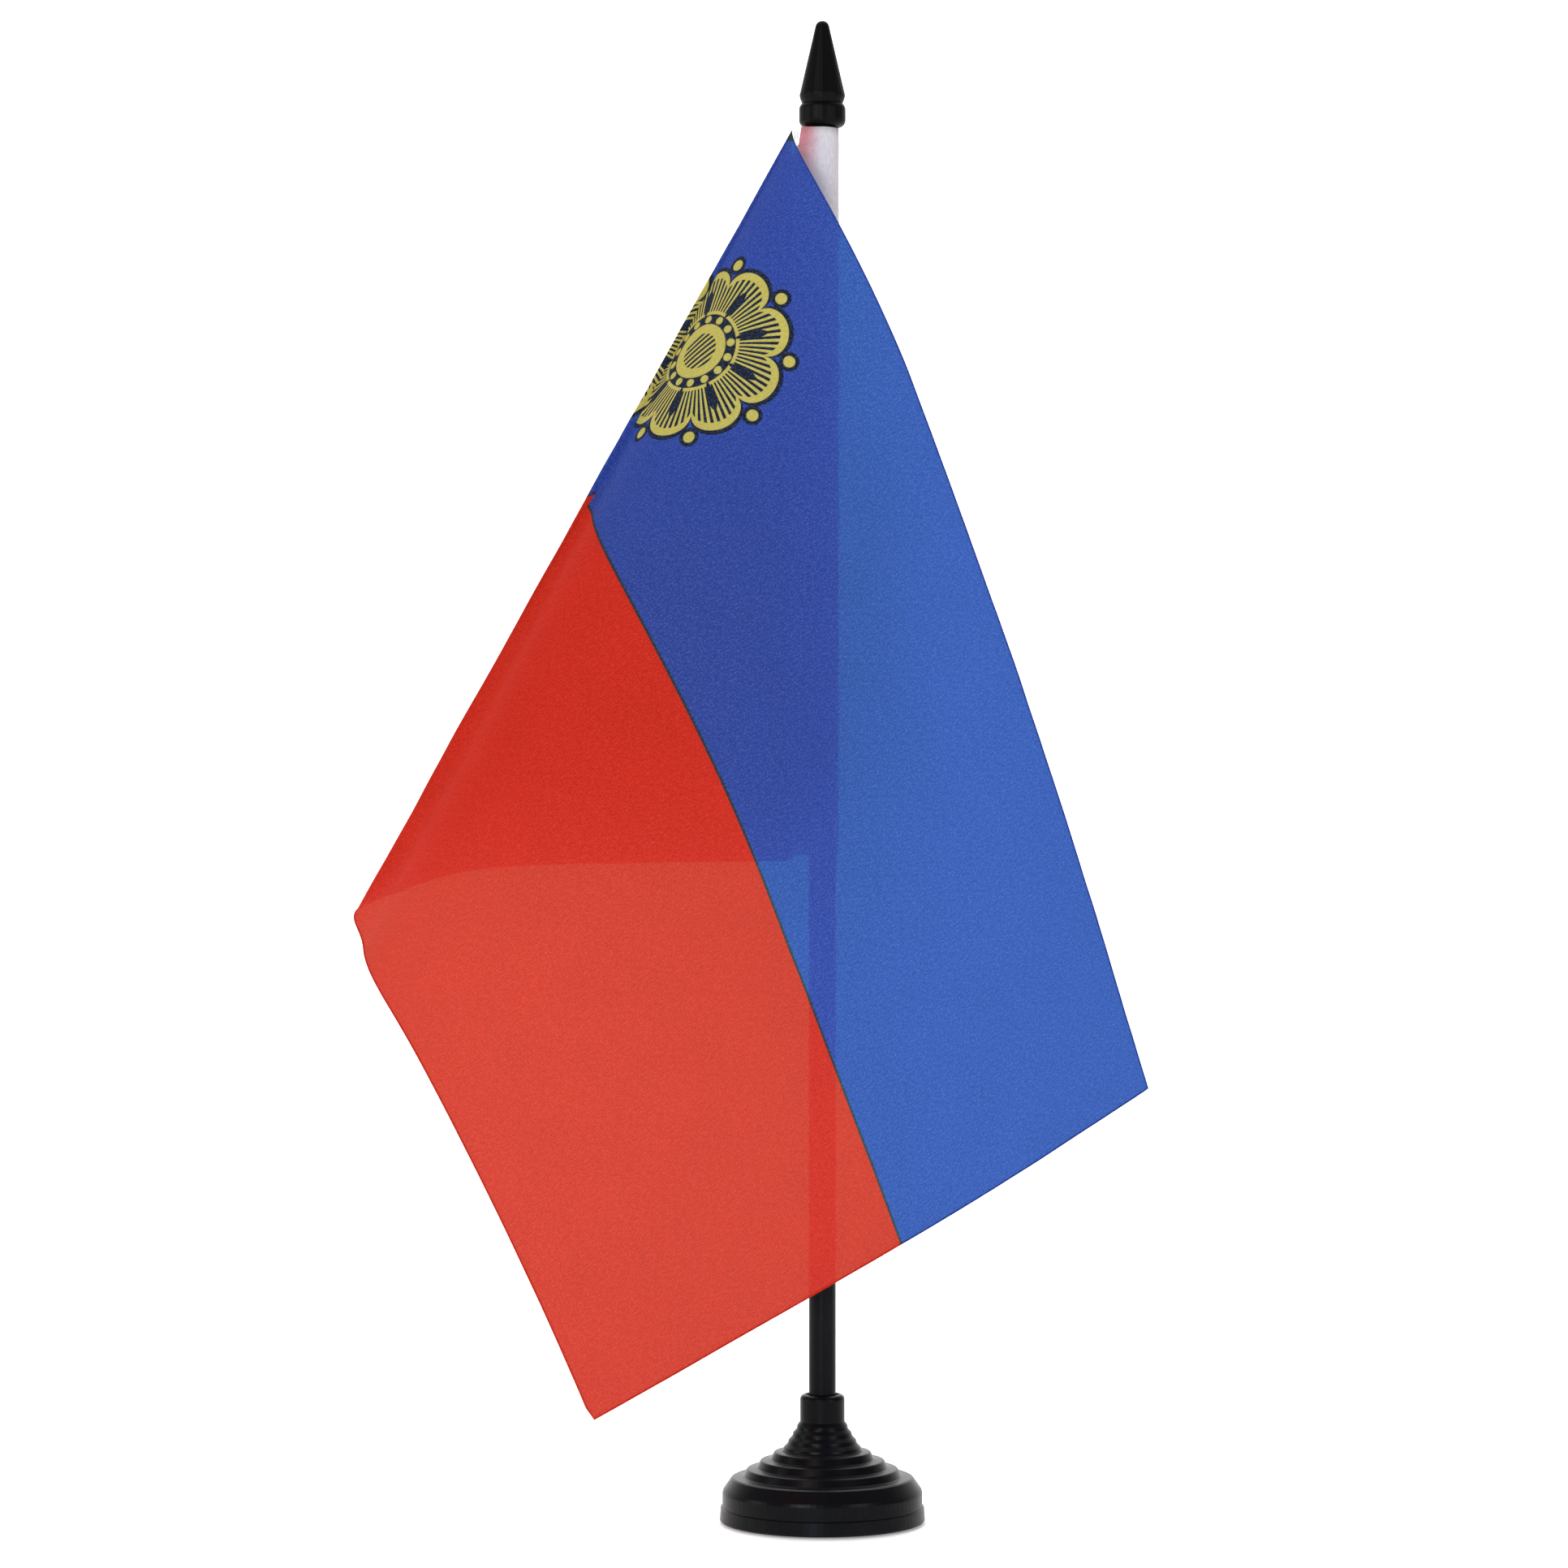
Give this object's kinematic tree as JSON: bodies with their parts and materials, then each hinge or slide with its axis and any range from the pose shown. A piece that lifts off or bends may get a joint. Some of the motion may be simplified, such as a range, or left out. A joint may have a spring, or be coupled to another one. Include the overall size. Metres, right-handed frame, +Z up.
{
  "type": "desk flag stand",
  "caption": "Small two-stripe cloth flag in a sleeve on a thin pole with a pointed cap, standing in a weighted round stepped base.",
  "frame": {"origin": "middle of the base's underside, on the pole's axis", "axes": "+Z up along the pole; the flag leaves the pole towards -X and falls back across its -Y side"},
  "size_m": [0.1493, 0.0778, 0.29],
  "materials": {
    "moulded_plastic": "semi-gloss injection-moulded black",
    "ballast": "rough cast, hidden inside the base",
    "cover_plastic": "matte moulded black",
    "pad": "soft non-slip foam rubber",
    "pole_plastic": "semi-gloss extruded black",
    "cap_plastic": "satin black",
    "sleeve_cloth": "white woven satin, undyed side of the print",
    "flag_cloth": null
  },
  "bodies": {
    "base": {"base_shell": "moulded_plastic", "ballast_disc": "ballast", "base_cover": "cover_plastic", "base_pad": "pad"},
    "pole": {"pole": "pole_plastic"},
    "finial": {"finial": "cap_plastic"},
    "flag": {"flag_sleeve": "sleeve_cloth", "flag_cloth": "flag_cloth"}
  },
  "joints": [
    {"name": "pole_lift", "type": "slide", "parent": "base", "child": "pole", "axis": [0, 0, 1], "range_m": [0, 0.019]},
    {"name": "finial_lift", "type": "slide", "parent": "pole", "child": "finial", "axis": [0, 0, 1], "range_m": [0, 0.0075]},
    {"name": "flag_swing", "type": "hinge", "parent": "pole", "child": "flag", "pos_m": [0, 0, 0.2], "axis": [0, 0, 1], "continuous": true}
  ]
}
